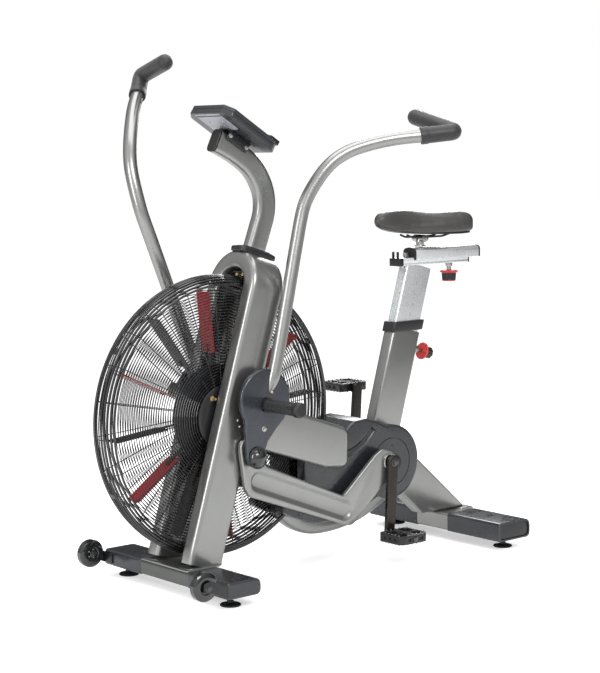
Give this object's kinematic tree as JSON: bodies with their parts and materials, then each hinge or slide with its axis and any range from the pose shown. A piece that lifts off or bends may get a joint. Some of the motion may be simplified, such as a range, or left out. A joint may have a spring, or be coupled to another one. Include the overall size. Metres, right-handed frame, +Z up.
{
  "type": "air bike",
  "caption": "Upright exercise bike with a caged fan for resistance, swinging push-pull handles, pedals, foot pegs, a console and a sliding saddle.",
  "frame": {"origin": "on the floor, under the centre of the bike's length and width", "axes": "+X towards the rear of the bike (the rider faces -X, where the fan is), +Y to the rider's right, +Z up"},
  "size_m": [1.594, 0.828, 1.6527],
  "materials": {
    "silver_paint": "satin silver-grey powder coat",
    "slate_paint": "satin dark slate paint",
    "black_paint": "satin black powder coat",
    "dark_plastic": "fine-textured dark grey",
    "black_plastic": "matte black",
    "rubber": "matte black",
    "steel": "plated",
    "crank_metal": "dark bronze-grey",
    "aluminium": "polished",
    "saddle_vinyl": "grained dark grey vinyl over foam",
    "red_knob": "glossy red",
    "screen_glass": "glossy near-black window"
  },
  "bodies": {
    "frame": {"front_stabilizer": "slate_paint", "rear_stabilizer": "slate_paint", "front_foot_left": "rubber", "front_foot_right": "rubber", "rear_foot_left": "rubber", "rear_foot_right": "rubber", "wheel_bracket_left": "black_paint", "wheel_bracket_right": "black_paint", "fork_frame": "silver_paint", "mast_collar": "black_paint", "mast": "silver_paint", "mast_end_cap": "black_plastic", "side_beam_left": "silver_paint", "side_beam_right": "silver_paint", "main_spine": "silver_paint", "seat_tube": "silver_paint", "bottom_bracket": "steel", "rear_leg": "silver_paint", "lower_tube": "silver_paint", "seat_tube_collar": "black_paint", "housing_left": "dark_plastic", "housing_right": "dark_plastic", "guard_face_left": "black_paint", "guard_face_right": "black_paint", "guard_rim": "black_paint", "fan_axle": "steel", "drive_belt": "rubber", "foot_peg_left": "steel", "foot_peg_right": "steel", "console_case": "dark_plastic", "console_screen": "screen_glass", "console_bracket": "black_paint"},
    "crank_set": {"crank_spindle": "steel", "drive_pulley": "steel", "crank_left": "crank_metal", "crank_right": "crank_metal"},
    "fan": {"fan_wheel": "black_paint", "fan_pulley": "steel"},
    "left_pedal": {"pedal_left": "black_plastic"},
    "right_pedal": {"pedal_right": "black_plastic"},
    "left_handle": {"lever_left": "dark_plastic", "handle_left": "silver_paint", "grip_left": "rubber"},
    "right_handle": {"lever_right": "dark_plastic", "handle_right": "silver_paint", "grip_right": "rubber"},
    "left_rod": {"rod_left": "silver_paint"},
    "right_rod": {"rod_right": "silver_paint"},
    "seat_carriage": {"seat_post": "aluminium", "seat_rail": "aluminium"},
    "seat_mount": {"seat_slider": "aluminium", "saddle_clamp": "steel"},
    "saddle_pad": {"saddle": "saddle_vinyl"},
    "post_knob": {"post_pin_knob": "red_knob"},
    "slider_knob": {"slider_pin_knob": "red_knob"},
    "left_wheel": {"transport_wheel_left": "rubber"},
    "right_wheel": {"transport_wheel_right": "rubber"},
    "button_1": {"console_button_1": "black_plastic"},
    "button_2": {"console_button_2": "black_plastic"},
    "button_3": {"console_button_3": "black_plastic"}
  },
  "joints": [
    {"name": "crank_spin", "type": "hinge", "parent": "frame", "child": "crank_set", "pos_m": [0.31, 0, 0.312], "axis": [0, 1, 0], "continuous": true},
    {"name": "fan_spin", "type": "hinge", "parent": "frame", "child": "fan", "pos_m": [-0.357, 0, 0.529], "axis": [0, 1, 0], "continuous": true},
    {"name": "left_pedal_spin", "type": "hinge", "parent": "crank_set", "child": "left_pedal", "pos_m": [0.242, -0.22, 0.09], "axis": [0, 1, 0], "continuous": true},
    {"name": "right_pedal_spin", "type": "hinge", "parent": "crank_set", "child": "right_pedal", "pos_m": [0.378, 0.22, 0.534], "axis": [0, 1, 0], "continuous": true},
    {"name": "left_handle_swing", "type": "hinge", "parent": "frame", "child": "left_handle", "pos_m": [-0.28, -0.155, 0.57], "axis": [0, 1, 0], "range_deg": [-39, 0]},
    {"name": "right_handle_swing", "type": "hinge", "parent": "frame", "child": "right_handle", "pos_m": [-0.28, 0.155, 0.57], "axis": [0, 1, 0], "range_deg": [0, 39]},
    {"name": "left_rod_turn", "type": "hinge", "parent": "crank_set", "child": "left_rod", "pos_m": [0.26, -0.13, 0.326], "axis": [0, 1, 0], "continuous": true},
    {"name": "right_rod_turn", "type": "hinge", "parent": "crank_set", "child": "right_rod", "pos_m": [0.36, 0.13, 0.298], "axis": [0, 1, 0], "continuous": true},
    {"name": "seat_height", "type": "slide", "parent": "frame", "child": "seat_carriage", "axis": [0.2803, 0, 0.9599], "range_m": [-0.09, 0.1]},
    {"name": "seat_fore_aft", "type": "slide", "parent": "seat_carriage", "child": "seat_mount", "axis": [1, 0, 0], "range_m": [-0.05, 0.05]},
    {"name": "saddle_tilt", "type": "hinge", "parent": "seat_mount", "child": "saddle_pad", "pos_m": [0.533, 0, 1.046], "axis": [0, 1, 0], "range_deg": [-6, 6]},
    {"name": "post_knob_pull", "type": "slide", "parent": "frame", "child": "post_knob", "axis": [0.9599, 0, -0.2803], "range_m": [0, 0.012], "stiffness_N_per_m": 800, "springref_m": -0.008},
    {"name": "slider_knob_pull", "type": "slide", "parent": "seat_carriage", "child": "slider_knob", "axis": [0, 0, -1], "range_m": [0, 0.01], "stiffness_N_per_m": 800, "springref_m": -0.012},
    {"name": "left_wheel_spin", "type": "hinge", "parent": "frame", "child": "left_wheel", "pos_m": [-0.635, -0.298, 0.083], "axis": [0, 1, 0], "continuous": true},
    {"name": "right_wheel_spin", "type": "hinge", "parent": "frame", "child": "right_wheel", "pos_m": [-0.635, 0.298, 0.083], "axis": [0, 1, 0], "continuous": true},
    {"name": "button_1_press", "type": "slide", "parent": "frame", "child": "button_1", "axis": [-0.5255, 0, -0.8508], "range_m": [0, 0.0015], "stiffness_N_per_m": 300, "springref_m": -0.0005},
    {"name": "button_2_press", "type": "slide", "parent": "frame", "child": "button_2", "axis": [-0.5255, 0, -0.8508], "range_m": [0, 0.0015], "stiffness_N_per_m": 300, "springref_m": -0.0005},
    {"name": "button_3_press", "type": "slide", "parent": "frame", "child": "button_3", "axis": [-0.5255, 0, -0.8508], "range_m": [0, 0.0015], "stiffness_N_per_m": 300, "springref_m": -0.0005}
  ],
  "couplings": [
    {"joint": "fan_spin", "follows": "crank_spin", "ratio": 3.8333},
    {"joint": "right_handle_swing", "follows": "left_handle_swing", "ratio": -1},
    {"joint": "left_rod_turn", "follows": "crank_spin", "ratio": -1},
    {"joint": "right_rod_turn", "follows": "crank_spin", "ratio": -1}
  ]
}
